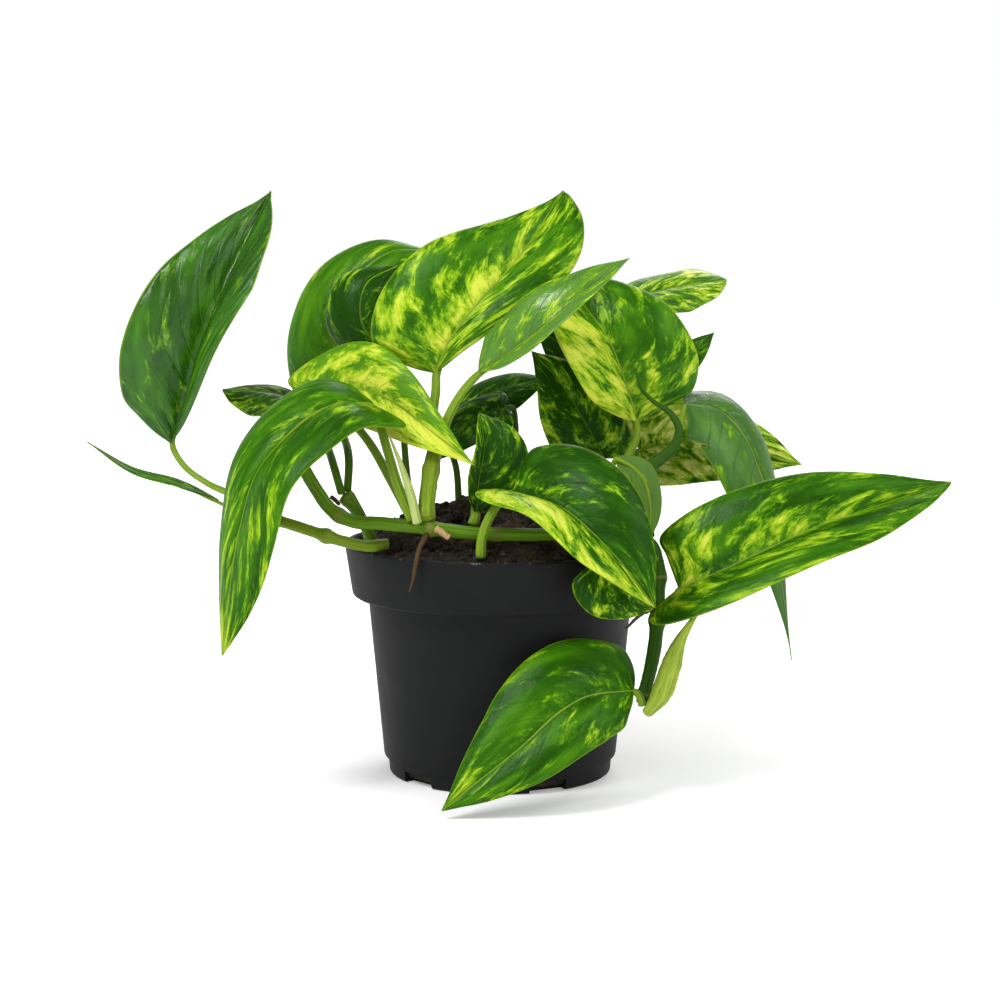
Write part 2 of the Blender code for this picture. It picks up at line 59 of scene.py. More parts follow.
# Each leaf: its midrib from base to tip, the half widths to its left and right edge, the shape
# of each edge (place of the widest part, lobe, base fullness, taper), then its stalk from the
# foot up to the base and the stalk's radii. All in millimetres.
LEAVES = {
    "leaf_far_left": dict(
        rib=((-126, 0, 127), (-120, -5, 144), (-113, -6, 167), (-101, 2, 195), (-88, 16, 223)),
        left=(-27, -8, 4), right=(10, -18, -4), l=(.36, 0, .5, 1.1), r=(.62, 0, .1, 1),
        stalk=((-85.2, -32.2, 103.9), (-98, -19, 108.5), (-112, -8, 113), (-121, -3, 119)),
        radii=(1.5, 1.3, 1.2)),
    "leaf_far_left_spear": dict(
        rib=((-108, 0, 105), (-124, 4, 111), (-142, 6, 116), (-159, 5, 127)),
        left=(0, -4, -1), right=(0, 4, 1), l=(.4, 0, .3, 1), r=(.4, 0, .3, 1),
        stalk=((-85.8, -31.6, 100.5), (-92, -21, 101), (-100, -8, 102)),
        radii=(1.1, 1.0, 0.8)),
    "leaf_left_front": dict(
        rib=((-46, -34, 144), (-58, -40, 146), (-74, -48, 137), (-87, -55, 123), (-94, -60, 100),
             (-98, -59, 76), (-101, -55, 55)),
        left=(10, -20, -8), right=(-9, 15, 8), left2=(19, -12, 0), right2=(-9, 14, 0),
        l=(.40, .06, 1, .85), r=(.36, .02, .8, .8),
        stalk=((-32.2, -47, 104), (-36.5, -45, 114), (-41, -41, 128), (-45, -35.5, 140)),
        radii=(2.0, 1.8, 1.6)),
    "leaf_left_gold": dict(
        rib=((-67, -8, 146), (-55, -12, 149), (-40, -23, 145), (-25, -37, 135), (-9, -42, 123)),
        left=(-6, 8, 15), left2=(7, 2, 13), right=(-2, -8, -12),
        l=(.20, .18, 1, 1.2), r=(.3, .15, 1, 1),
        stalk=((-33, -41, 104.4), (-40, -33, 116), (-50, -21, 131), (-61, -10, 141)),
        radii=(1.9, 1.7, 1.5)),
    "leaf_left_small": dict(
        rib=((-76, 12, 143), (-90, 10, 146), (-107, 8, 147)),
        left=(0, -9, -9), right=(0, 8, 2), l=(.6, 0, .4, .7), r=(.4, 0, .5, 1),
        stalk=((-58.8, -30.8, 111.4), (-61, -29, 119), (-65, -14, 127), (-71, 4, 137)),
        radii=(1.5, 1.6, 1.3)),
    "leaf_back_left_tall": dict(
        rib=((-68, 34, 136), (-67, 42, 166), (-58, 48, 188), (-43, 52, 199), (-26, 56, 199)),
        left=(-16, 14, 7), right=(16, -6, -8), l=(.35, .02, .6, 1), r=(.4, .05, 1, 1),
        stalk=((-56.8, -27.7, 112), (-56.5, -22, 122), (-60, -4, 131), (-66, 20, 133)),
        radii=(1.5, 1.6, 1.4)),
    "leaf_back_left_round": dict(
        rib=((-43, 18, 157), (-54, 18, 174), (-52, 22, 187), (-40, 28, 194)),
        left=(-14, 8, 2), right=(16, 6, 0), l=(.4, .05, 1, .9), r=(.4, .05, 1, .9),
        stalk=((-34, 4, 98.4), (-36, 6, 115), (-38, 10, 135), (-41, 15, 150)),
        radii=(1.5, 1.3, 1.1)),
    "leaf_top_centre": dict(
        rib=((-24, -16, 155), (-20, -17, 165), (-11, -16, 178), (0, -11, 190), (11, -2, 203),
             (24, 13, 223)),
        left=(-26, 6, 18), right=(18, -6, -7), l=(.24, .03, .9, 1.3), r=(.66, 0, .1, .55),
        stalk=((-25.4, -30.8, 131.5), (-25, -25, 140), (-24, -19, 149)),
        radii=(1.9, 1.8, 1.7)),
    "leaf_top_folded": dict(
        rib=((-8, -25, 156), (8, -31, 167), (21, -33, 178), (35, -29, 189), (48, -20, 198)),
        left=(-8, 8, 9), right=(2, -7, -3), l=(.4, 0, .6, 1), r=(.4, 0, .5, 1),
        stalk=((-21.9, -31.6, 131.8), (-19, -30.5, 140), (-13, -27, 150)),
        radii=(1.8, 1.8, 1.5)),
    "leaf_right_upper": dict(
        rib=((52, -5, 136), (47, -8, 152), (41, -6, 167), (33, 0, 178), (22, 8, 190)),
        left=(-18, -14, -3), right=(26, 6, 14), l=(.5, 0, .35, .8), r=(.3, 0, .8, .85),
        stalk=((38, -12, 98.2), (42, -14, 112), (49, -10, 124), (52, -6, 131)),
        radii=(1.8, 1.7, 1.6)),
    "leaf_back_right": dict(
        rib=((48, 42, 180), (70, 44, 185), (90, 40, 188)),
        left=(0, 14, 6), right=(3, -12, -9), l=(.5, 0, .6, .8), r=(.6, 0, .6, .5),
        stalk=((26, 26, 97.5), (30, 32, 125), (38, 40, 158), (44, 42, 175)),
        radii=(1.4, 1.2, 1.0)),
    "leaf_back_right_tip": dict(
        rib=((64, 22, 150), (75, 24, 160), (84, 26, 168)),
        left=(-3, 6, 5), right=(3, -6, -5), l=(.3, .05, 1, 1), r=(.3, .05, 1, 1),
        stalk=((34, 24, 97.2), (40, 30, 115), (47, 32, 132), (58, 25, 146)),
        radii=(1.2, 1.0, 0.9)),
    "leaf_back_centre": dict(
        rib=((-20, 25, 136), (-2, 27, 145), (18, 28, 150)),
        left=(0, 10, 5), right=(2, -10, -9), l=(.5, 0, .7, .8), r=(.5, 0, .7, .8),
        stalk=((-16, 14, 101), (-17, 16, 115), (-21, 22, 130)),
        radii=(1.4, 1.3, 1.2)),
    "leaf_back_low": dict(
        rib=((2, 8, 140), (-10, 8, 136), (-20, 7, 128), (-29, 6, 118)),
        left=(4, -9, -8), right=(-4, 9, 5), l=(.35, .05, 1, 1), r=(.35, .05, 1, 1),
        stalk=((-4, 14, 102.6), (3, 17, 116), (6, 15, 133), (4, 10, 140)),
        radii=(1.4, 1.3, 1.1)),
    "leaf_back_middle": dict(
        rib=((42, 22, 143), (36, 24, 152), (26, 26, 162), (14, 26, 170)),
        left=(-10, 4, -9), right=(9, -3, 10), l=(.35, .05, 1, 1), r=(.35, .05, 1, 1),
        stalk=((14, 26, 99.3), (22, 26, 112), (36, 24, 130), (42, 22, 138)),
        radii=(1.3, 1.2, 1.1)),
    "leaf_centre_upright": dict(
        rib=((-9, -30, 104), (-8, -30, 116), (-6, -29, 128), (-8, -27, 141)),
        left=(-4, -8, 0), right=(18, 8, -2), l=(.4, 0, .4, 1), r=(.5, 0, .5, .8),
        stalk=((-10, -32, 100), (-9.5, -31.5, 101.6), (-9, -30.5, 103)),
        radii=(2.2, 2.0, 1.8)),
    "leaf_centre_olive": dict(
        rib=((40, 2, 121), (32, 4, 136), (23, 6, 150), (12, 6, 162)),
        left=(-14, -6, -8), right=(12, 6, 8), l=(.3, .05, 1, 1), r=(.3, .05, 1, 1),
        stalk=((28, 4, 100.8), (33, 3, 108), (39, 2, 117)),
        radii=(1.6, 1.5, 1.3)),
    "leaf_front": dict(
        rib=((4, -45, 114), (22, -60, 110), (39, -71, 96), (55, -74, 76)),
        left=(11, 10, 19), right=(-10, -16, -2), right2=(-5, -18, -10),
        l=(.38, .03, 1, .9), r=(.40, .10, 1, .9),
        stalk=((-7, -53.2, 91.0), (-6.5, -53.6, 98), (-4, -52.5, 105), (1, -48.5, 111.5)),
        radii=(2.0, 1.7, 1.6)),
    "leaf_rim": dict(
        rib=((36, -58, 91), (45, -60, 82), (55, -61, 73)),
        left=(9, 6, 10), right=(-11, -4, -12), l=(.35, .05, 1, .8), r=(.35, .05, 1, .8),
        stalk=((57.2, -38, 88), (53, -48, 92), (46, -53, 95), (38, -57, 93)),
        radii=(1.3, 1.2, 1.1)),
    "leaf_right_hood": dict(
        rib=((42, -45, 125), (50, -44, 121), (54, -44, 112), (55, -45, 104), (54, -47, 96)),
        left=(-6, -6, 0), right=(6, 6, 0), l=(.4, 0, .7, 1), r=(.4, 0, .7, 1),
        stalk=((37, -27, 94.8), (38, -32, 106), (40, -40, 118), (41, -44, 123)),
        radii=(1.5, 1.3, 1.1)),
    "leaf_right_large": dict(
        rib=((66, -39, 77), (81, -42, 84), (99, -43, 93), (118, -41, 101), (140, -38, 108),
             (167, -33, 116)),
        left=(-9, 10, 22), right=(4, -18, -9), l=(.25, .0, 1, 1), r=(.5, .12, 1, .75),
        stalk=((62.6, -38.6, 72.6), (64.3, -39.2, 73.6), (65.6, -39.4, 75.6)),
        radii=(1.6, 1.5, 1.4)),
    "leaf_low_front": dict(
        rib=((49, -50, 41), (30, -63, 41), (5, -73, 23), (-21, -78, 3)),
        left=(6, -8, -15), right=(-11, 10, 18), l=(.35, 0, .55, .9), r=(.30, .05, 1, 1),
        stalk=((52.0, -52.4, 36), (51.5, -52.4, 38.4), (50, -51, 40.5)),
        radii=(1.5, 1.4, 1.3)),
    "leaf_right_cream": dict(
        rib=((55, 25, 122), (75, 28, 125), (97, 28, 122), (119, 25, 116)),
        left=(0, 12, 16), right=(-4, -12, -15), l=(.3, .05, 1, 1), r=(.3, .05, 1, 1),
        stalk=((40, 10, 97), (45, 15, 106), (51, 21, 117)),
        radii=(1.6, 1.4, 1.3)),
    "leaf_right_droop": dict(
        rib=((71, 0, 142), (83, 2, 140), (94, 0, 129), (100, -3, 114), (106, -6, 85),
             (112, -8, 44)),
        left=(6, 12, 3), right=(-14, -12, -9), l=(.25, 0, 1, 1.8), r=(.25, 0, 1, 1.8),
        stalk=((67.3, -12.3, 131), (68.5, -7, 135), (70, -2.5, 140)),
        radii=(1.4, 1.3, 1.2)),
}

# How each leaf is coloured: seed, how yellow it is overall (gold), more or less yellow on its left
# and right half, by the midrib and the edge, and at the base and the tip, then how light its green
# is and how much grey-green painted sheen is mixed into it. Quilt stands up in millimetres, crinkle
# and pucker are bumps, gloss is the specular level. PLAIN is what a leaf has that says nothing else.
PLAIN = dict(light=.3, sheen_grey=0, cream=0, quilt=.26, crinkle=1.4, pucker=0, rough=.33, gloss=.07)
LOOKS = {
    "leaf_far_left": dict(seed=1, gold=-.20, light=.33, quilt=.60, crinkle=.7, pucker=4, rough=.28,
                          gloss=.28),
    "leaf_far_left_spear": dict(seed=2, gold=-.15, light=.35),
    "leaf_left_front": dict(seed=3, gold=-.11, edge=-.04, mid=.05, tip=.16, light=.36, quilt=.26),
    "leaf_left_gold": dict(seed=4, gold=.07, left=-.04, right=.10, mid=.12, tip=.08, light=.60,
                           sheen_grey=.15),
    "leaf_left_small": dict(seed=5, gold=-.08, edge=.08, light=.25, gloss=.2),
    # This back leaf's high light value is painted light: a lighter green stands in for light shining through
    # it.
    "leaf_back_left_tall": dict(seed=6, gold=-.18, light=.48),
    "leaf_back_left_round": dict(seed=27, gold=-.18, edge=.04, light=.08),
    "leaf_top_centre": dict(seed=38, gold=-.05, mid=.10, edge=.03, base=.02, light=.34),
    "leaf_top_folded": dict(seed=9, gold=-.07, light=.60, sheen_grey=.40, rough=.24, gloss=.28),
    "leaf_right_upper": dict(seed=10, gold=-.07, left=.19, edge=.06, light=.36),
    "leaf_back_right": dict(seed=11, gold=.02, light=.34, sheen_grey=.2, cream=1),
    "leaf_back_right_tip": dict(seed=12, gold=-.15, light=.20),
    "leaf_back_centre": dict(seed=13, gold=-.16, light=.06),
    "leaf_back_low": dict(seed=14, gold=-.16, light=.06),
    "leaf_back_middle": dict(seed=15, gold=-.20, light=.05),
    "leaf_centre_upright": dict(seed=16, gold=-.18, right=.04, edge=.08, light=.06),
    "leaf_centre_olive": dict(seed=17, gold=-.07, edge=.06, light=.12),
    "leaf_front": dict(seed=18, gold=-.17, right=.26, light=.20),
    "leaf_rim": dict(seed=19, gold=-.17, right=.10, light=.10),
    "leaf_right_hood": dict(seed=20, gold=-.16, light=.50, sheen_grey=.5, rough=.22, gloss=.40),
    "leaf_right_large": dict(seed=21, gold=-.11, base=.13, mid=.11, light=.34),
    "leaf_low_front": dict(seed=22, gold=-.15, mid=.06, tip=.10, light=.34),
    "leaf_right_cream": dict(seed=23, gold=.10, light=.20, cream=1),
    "leaf_right_droop": dict(seed=24, gold=-.20, light=.38, sheen_grey=.38, quilt=.16, rough=.30,
                             gloss=.16),
}

# Leaf colours: greens from dark to bright, then the variegation, a grey-green painted sheen, the underside.
DEEP = (0.010, 0.050, 0.001)
MIDDLE = (0.030, 0.130, 0.002)
BRIGHT = (0.085, 0.235, 0.003)
LIME = (0.230, 0.390, 0.008)
YELLOW = (0.520, 0.575, 0.055)
CREAM = (0.700, 0.680, 0.190)
SHEEN_GREY = (0.085, 0.165, 0.050)
UNDERSIDE = (0.080, 0.150, 0.022)

# A slot name for each leaf.
SLOTS = {
    "leaf_far_left": "leaf_deep",
    "leaf_far_left_spear": "leaf_mid",
    "leaf_left_front": "leaf_mid",
    "leaf_left_gold": "leaf_gold",
    "leaf_left_small": "leaf_deep",
    "leaf_back_left_tall": "leaf_mid",
    "leaf_back_left_round": "leaf_deep",
    "leaf_top_centre": "leaf_gold",
    "leaf_top_folded": "leaf_pale",
    "leaf_right_upper": "leaf_gold",
    "leaf_back_right": "leaf_cream",
    "leaf_back_right_tip": "leaf_deep",
    "leaf_back_centre": "leaf_deep",
    "leaf_back_low": "leaf_deep",
    "leaf_back_middle": "leaf_deep",
    "leaf_centre_upright": "leaf_deep",
    "leaf_centre_olive": "leaf_olive",
    "leaf_front": "leaf_gold",
    "leaf_rim": "leaf_deep",
    "leaf_right_hood": "leaf_pale",
    "leaf_right_large": "leaf_gold",
    "leaf_low_front": "leaf_mid",
    "leaf_right_cream": "leaf_cream",
    "leaf_right_droop": "leaf_grey",
}

# Stems: points in millimetres, radii, segments, finish.
STEMS = {
    "vine_front": (((33, -38, 95.2), (22, -42, 97.3), (8, -45.6, 98), (-7, -46.5, 98.5), (-26, -45.8, 100.5),
                    (-44, -40, 101.5), (-55, -38.5, 102.3), (-62, -37, 106), (-68, -36, 114),
                    (-73, -37, 123)), (2.1, 2.5, 2.5, 2.5, 2.4), 16, "stem_green"),
    "vine_left_low": (((-42, -32, 92.6), (-49, -36.5, 92.6), (-57, -39.5, 94.6), (-66, -40, 97.5),
                       (-75, -37, 100), (-84.5, -32.5, 102.2)), (2.1, 2.1, 2.1), 12, "stem_pale"),
    "vine_left_fork": (((-47.5, -24, 91.4), (-50.5, -27, 99), (-54, -29.5, 106), (-57.5, -29.3, 110.5)),
                       (1.9, 2.2, 2.8), 8, "stem_green"),
    "vine_right": (((44, -30, 92.4), (50, -32, 95.4), (55.5, -33, 93), (58.3, -35, 86), (58.5, -37.5, 74),
                    (57, -43, 56), (52.3, -48.5, 36)), (2.3, 2.6, 2.6, 2.6, 2.2), 16, "stem_dark"),
    "stem_centre": (((-27, -47, 104.2), (-26.5, -43, 112), (-25, -36, 123), (-23.5, -31.2, 130.5)),
                    (3.1, 3.1, 2.8), 8, "stem_pale"),
    "shoot_curled": (((42, -22, 94.9), (47, -19, 108), (53, -15, 117), (60, -14, 122), (66, -15, 128),
                      (67.3, -15, 134), (64, -16, 140), (57, -17, 145), (52.5, -17, 150),
                      (51, -16, 156)), (2.4, 2.8, 2.6, 1.7, 0.9, 0.35), 20, "stem_dark"),
    "sheath_pale": (((-30, -50.7, 103), (-32, -49.5, 112), (-36, -47.5, 124), (-40.5, -45.5, 135)),
                    (1.7, 1.7, 1.0, 0.3), 8, "sheath_pale"),
    "leaf_young_rolled": (((53.9, -51.8, 32.8), (58.6, -54.5, 40), (62, -55, 50), (65.5, -54, 60),
                           (73, -52, 72)),
                          (2.0, 4.2, 3.8, 1.8, 0.4), 12, "leaf_pale"),
    "root_front": (((-26.5, -48, 98.6), (-29, -52.6, 94.6), (-30.5, -54.5, 89), (-31.5, -53.5, 83),
                    (-33, -52, 78)), (0.9, 0.8, 0.6, 0.3), 8, "root_brown"),
    "root_vine_right": (((57.6, -40.4, 70.5), (56.4, -42.4, 70.2), (52, -46, 68.8), (46, -49.5, 64)),
                        (0.8, 0.7, 0.4), 6, "root_brown"),
    "root_left": (((-62.4, -34, 110.6), (-60.8, -32.6, 109), (-59.6, -31.6, 107.4)),
                  (0.7, 0.8, 0.6), 6, "root_brown"),
    "stub_cut": (((-23.2, -50.1, 101), (-21, -51.3, 99.6), (-18.5, -52.4, 98)),
                 (1.2, 1.1, 1.0), 4, "stub_tan"),
}

# Knots on a stem, (share of the way along, how far they stand out).
KNOTS = {
    "vine_front": ((0.03, 0.3), (0.30, 0.3), (0.50, 0.7), (0.80, 0.5)),
    "vine_left_low": ((0.10, 0.3), (0.52, 0.9), (0.97, 0.5)),
    "vine_left_fork": ((0.15, 0.4), (0.93, 0.5)),
    "vine_right": ((0.36, 0.7), (0.58, 0.9), (0.96, 0.6)),
    "stem_centre": ((0.04, 0.4), (0.62, 0.5)),
}

# Dark and light colour of each stem finish.
SKINS = {
    "stem_green": ((0.028, 0.085, 0.002), (0.105, 0.210, 0.006)),
    "stem_pale": ((0.065, 0.135, 0.003), (0.175, 0.265, 0.014)),
    "stem_dark": ((0.007, 0.036, 0.001), (0.032, 0.100, 0.003)),
    "sheath_pale": ((0.190, 0.290, 0.045), (0.400, 0.470, 0.160)),
    "leaf_pale": ((0.090, 0.190, 0.006), (0.330, 0.430, 0.050)),
    "root_brown": ((0.026, 0.015, 0.006), (0.090, 0.056, 0.026)),
    "stub_tan": ((0.200, 0.110, 0.040), (0.520, 0.350, 0.170)),
}
KNOT_BROWN = (0.16, 0.13, 0.04)
ROOT_DARK = (0.10, 0.05, 0.02)
PALE_STALK = ((0.055, 0.135, 0.003), (0.190, 0.300, 0.018))
DARK_STALK = ((0.018, 0.068, 0.002), (0.075, 0.160, 0.005))
DARK_STALKS = ("leaf_back_low", "leaf_back_middle", "leaf_back_centre", "leaf_centre_olive",
               "leaf_back_left_round", "leaf_left_small", "leaf_back_left_tall", "leaf_back_right_tip")

# Pieces that aren't round: how deep a cleft runs along them, and how flat they are.
CLEFTS = {"leaf_young_rolled": 0.45, "shoot_curled": 0.40, "sheath_pale": 0.25}
FLATS = {"leaf_young_rolled": 0.9, "sheath_pale": 0.7}

# Wall of the pot in section, radius and height, inside first and then outside.
POT_STEPS = 144
POT_PROFILE = (
    (0.0, 1.6), (41.4, 1.6), (42.0, 6.6), (43.9, 8.8), (49.6, 70.2), (54.7, 70.9), (55.0, 71.6),
    (58.0, 88.8), (58.25, 89.35), (58.6, 89.6), (59.1, 89.6), (59.45, 89.3), (59.55, 88.8),
    (59.3, 86.4), (56.9, 70.6), (56.6, 69.8), (56.0, 69.35), (51.4, 68.9), (50.95, 68.6),
    (50.7, 67.8), (45.0, 7.4), (44.7, 6.6), (43.6, 6.3), (43.3, 5.9), (42.9, 0.9), (42.7, 0.4),
    (42.2, 0.0), (0.0, 0.0),
)

# Drain notches in the foot ring: how many, the first one's angle in degrees, their distance from
# the axis and their size in metres.
NOTCHES = 5
NOTCH_START = -47.0
NOTCH_REACH = 0.043
NOTCH_SIZE = (0.010, 0.015, 0.0084)

# The soil in section, down the inside of the pot, then its surface from the middle outwards.
SOIL_STEPS = 150
SOIL_RINGS = 60
SOIL_PROFILE = (
    (57.3, 87.2), (54.55, 71.25), (49.25, 70.55), (43.55, 9.15), (41.65, 6.95), (41.05, 1.95),
    (0.0, 1.95),
)
SOIL_TOP = (
    (0.0, 101.5), (14.0, 101.0), (28.0, 99.3), (40.0, 96.3), (49.0, 92.2), (54.5, 89.3),
    (57.3, 87.2),
)
SOIL_RADIUS = 57.3
SOIL_LIMIT = 57.6
CRUMBS = 1500

# Lump of bark on the soil at the rim.
CHUNK_PLACE = (55.0, -9.0, 95.6)
CHUNK_SIZE = (4.2, 5.5, 5.0)

# Camera place in metres, its tilt below level in degrees, and its lens in millimetres.
CAMERA_PLACE = (0.0, -0.9, 0.2185)
CAMERA_TILT = 7.18
LENS = 85.0

# Lamps: name, place, size and power, all aimed at the middle of the plant.
AIM = (0.0, 0.0, 0.11)
LAMPS = (
    ("key", (-0.55, -0.60, 1.05), 0.50, 13.0),
    ("fill", (0.8, -0.5, 0.9), 0.7, 6.0),
    ("back", (0.3, 0.9, 0.9), 0.7, 7.0),
)


def spline(keys, values, at):
    """Smooth curve through the values at the keys."""
    keys = np.asarray(keys, float)
    values = np.asarray(values, float)
    at = np.clip(np.asarray(at, float), keys[0], keys[-1])
    gap = np.diff(keys)
    rise = (np.diff(values, axis=0).T / gap).T
    slope = np.empty_like(values)
    slope[0] = rise[0]
    slope[-1] = rise[-1]
    slope[1:-1] = ((rise[:-1].T * gap[1:] + rise[1:].T * gap[:-1]) / (gap[:-1] + gap[1:])).T
    i = np.clip(np.searchsorted(keys, at) - 1, 0, len(keys) - 2)
    t = (at - keys[i]) / gap[i]
    start = (2 * t**3 - 3 * t**2 + 1) * values[i].T + (t**3 - 2 * t**2 + t) * gap[i] * slope[i].T
    end = (-2 * t**3 + 3 * t**2) * values[i + 1].T + (t**3 - t**2) * gap[i] * slope[i + 1].T
    return (start + end).T


def run_of(points):
    """Share of the way along a chain of points at each of them."""
    step = np.linalg.norm(np.diff(points, axis=0), axis=1)
    return np.concatenate(([0.0], np.cumsum(step))) / step.sum()


def along(points, at):
    """Points at shares of the way along the smooth curve through the given ones."""
    points = np.asarray(points, float)
    fine = spline(run_of(points), points, np.linspace(0, 1, 200))
    run = run_of(fine)
    at = np.asarray(at, float)
    inside = np.clip(at, 0, 1)
    place = np.stack([np.interp(inside, run, fine[:, k]) for k in range(3)], -1)
    length = np.linalg.norm(np.diff(fine, axis=0), axis=1).sum()
    start = fine[6] - fine[0]
    start = start / np.linalg.norm(start)
    return place + (np.minimum(at, 0) * length)[..., None] * start


def heading(points, at):
    """Directions of the curve at shares of the way along it."""
    step = along(points, np.minimum(at + 0.02, 1)) - along(points, np.maximum(at - 0.02, -0.2))
    return step / np.linalg.norm(step, axis=-1, keepdims=True)


def edge_shape(e, peak, lobe, full, taper):
    """How far along and how wide one edge of a leaf is at each step from notch to tip."""
    wide = np.asarray(WIDTHS)
    heart = np.array((0.0, -0.75 * lobe, -lobe, -0.4 * lobe, 0.40 * peak, peak))
    wedge = peak * wide[:6] ** 1.3
    head = full * heart + (1 - full) * wedge
    tail = peak + (1 - peak) * np.array((0.27, 0.52, 0.75, 0.90, 1.0))
    place = spline(OUTLINE, np.concatenate((head, tail)), e)
    width = np.clip(spline(OUTLINE, wide, e), 0, 1)
    return place, np.where(e > OUTLINE[5], width ** taper, width)


def lump(x, y):
    """Uneven crumbly height of the soil surface at a place."""
    return (np.sin(0.31 * x + 0.8) * np.cos(0.27 * y - 0.4) + 0.6 * np.sin(0.53 * x - 0.41 * y + 2.0)
            + 0.5 * np.cos(0.19 * x + 0.62 * y + 1.1))


class Graph:
    """Short names for building a node material."""

    def __init__(self, name):
        self.mat = bpy.data.materials.new(name)
        self.mat.use_nodes = True
        self.tree = self.mat.node_tree
        self.shader = self.tree.nodes["Principled BSDF"]

    def node(self, kind, **settings):
        made = self.tree.nodes.new(kind)
        for key, value in settings.items():
            setattr(made, key, value)
        return made

    def put(self, socket, value):
        if isinstance(value, bpy.types.NodeSocket):
            self.tree.links.new(value, socket)
        elif isinstance(value, tuple) and len(value) == 3 and socket.type == "RGBA":
            socket.default_value = (*value, 1.0)
        else:
            socket.default_value = value

    def math(self, how, a, b=0.0, c=0.0):
        made = self.node("ShaderNodeMath", operation=how)
        for socket, value in zip(made.inputs, (a, b, c)):
            self.put(socket, value)
        return made.outputs[0]

    def vector(self, x, y, z):
        made = self.node("ShaderNodeCombineXYZ")
        for socket, value in zip(made.inputs, (x, y, z)):
            self.put(socket, value)
        return made.outputs[0]

    def split(self, vector):
        made = self.node("ShaderNodeSeparateXYZ")
        self.put(made.inputs[0], vector)
        return made.outputs

    def uv(self, name):
        return self.node("ShaderNodeUVMap", uv_map=name).outputs[0]

    def noise(self, vector, scale, detail=3.0, rough=0.55, warp=0.0):
        made = self.node("ShaderNodeTexNoise")
        self.put(made.inputs["Vector"], vector)
        made.inputs["Scale"].default_value = scale
        made.inputs["Detail"].default_value = detail
        made.inputs["Roughness"].default_value = rough
        made.inputs["Distortion"].default_value = warp
        return made.outputs[0]

    def cells(self, vector, scale, feature="F1"):
        made = self.node("ShaderNodeTexVoronoi", feature=feature)
        self.put(made.inputs["Vector"], vector)
        made.inputs["Scale"].default_value = scale
        return made.outputs[0]

    def step(self, value, low, high, to_low=0.0, to_high=1.0):
        made = self.node("ShaderNodeMapRange", interpolation_type="SMOOTHSTEP")
        for socket, given in zip(made.inputs, (value, low, high, to_low, to_high)):
            self.put(socket, given)
        return made.outputs[0]

    def mix(self, share, a, b):
        made = self.node("ShaderNodeMix", data_type="RGBA")
        self.put(made.inputs[0], share)
        self.put(made.inputs[6], a)
        self.put(made.inputs[7], b)
        return made.outputs[2]

    def bump(self, height, strength, distance):
        made = self.node("ShaderNodeBump")
        self.put(made.inputs["Height"], height)
        made.inputs["Strength"].default_value = strength
        made.inputs["Distance"].default_value = distance
        self.put(self.shader.inputs["Normal"], made.outputs[0])

    def set(self, **values):
        for key, value in values.items():
            self.put(self.shader.inputs[key.replace("_", " ")], value)
        return self.mat


def vein_lines(g):
    """Place along a leaf, place across it either way and without sign, and which vein is there."""
    place, side, _ = g.split(g.uv("veins"))
    out = g.math("ABSOLUTE", side)
    return place, side, out, g.math("MULTIPLY_ADD", out, -VEIN_LEAN, place)


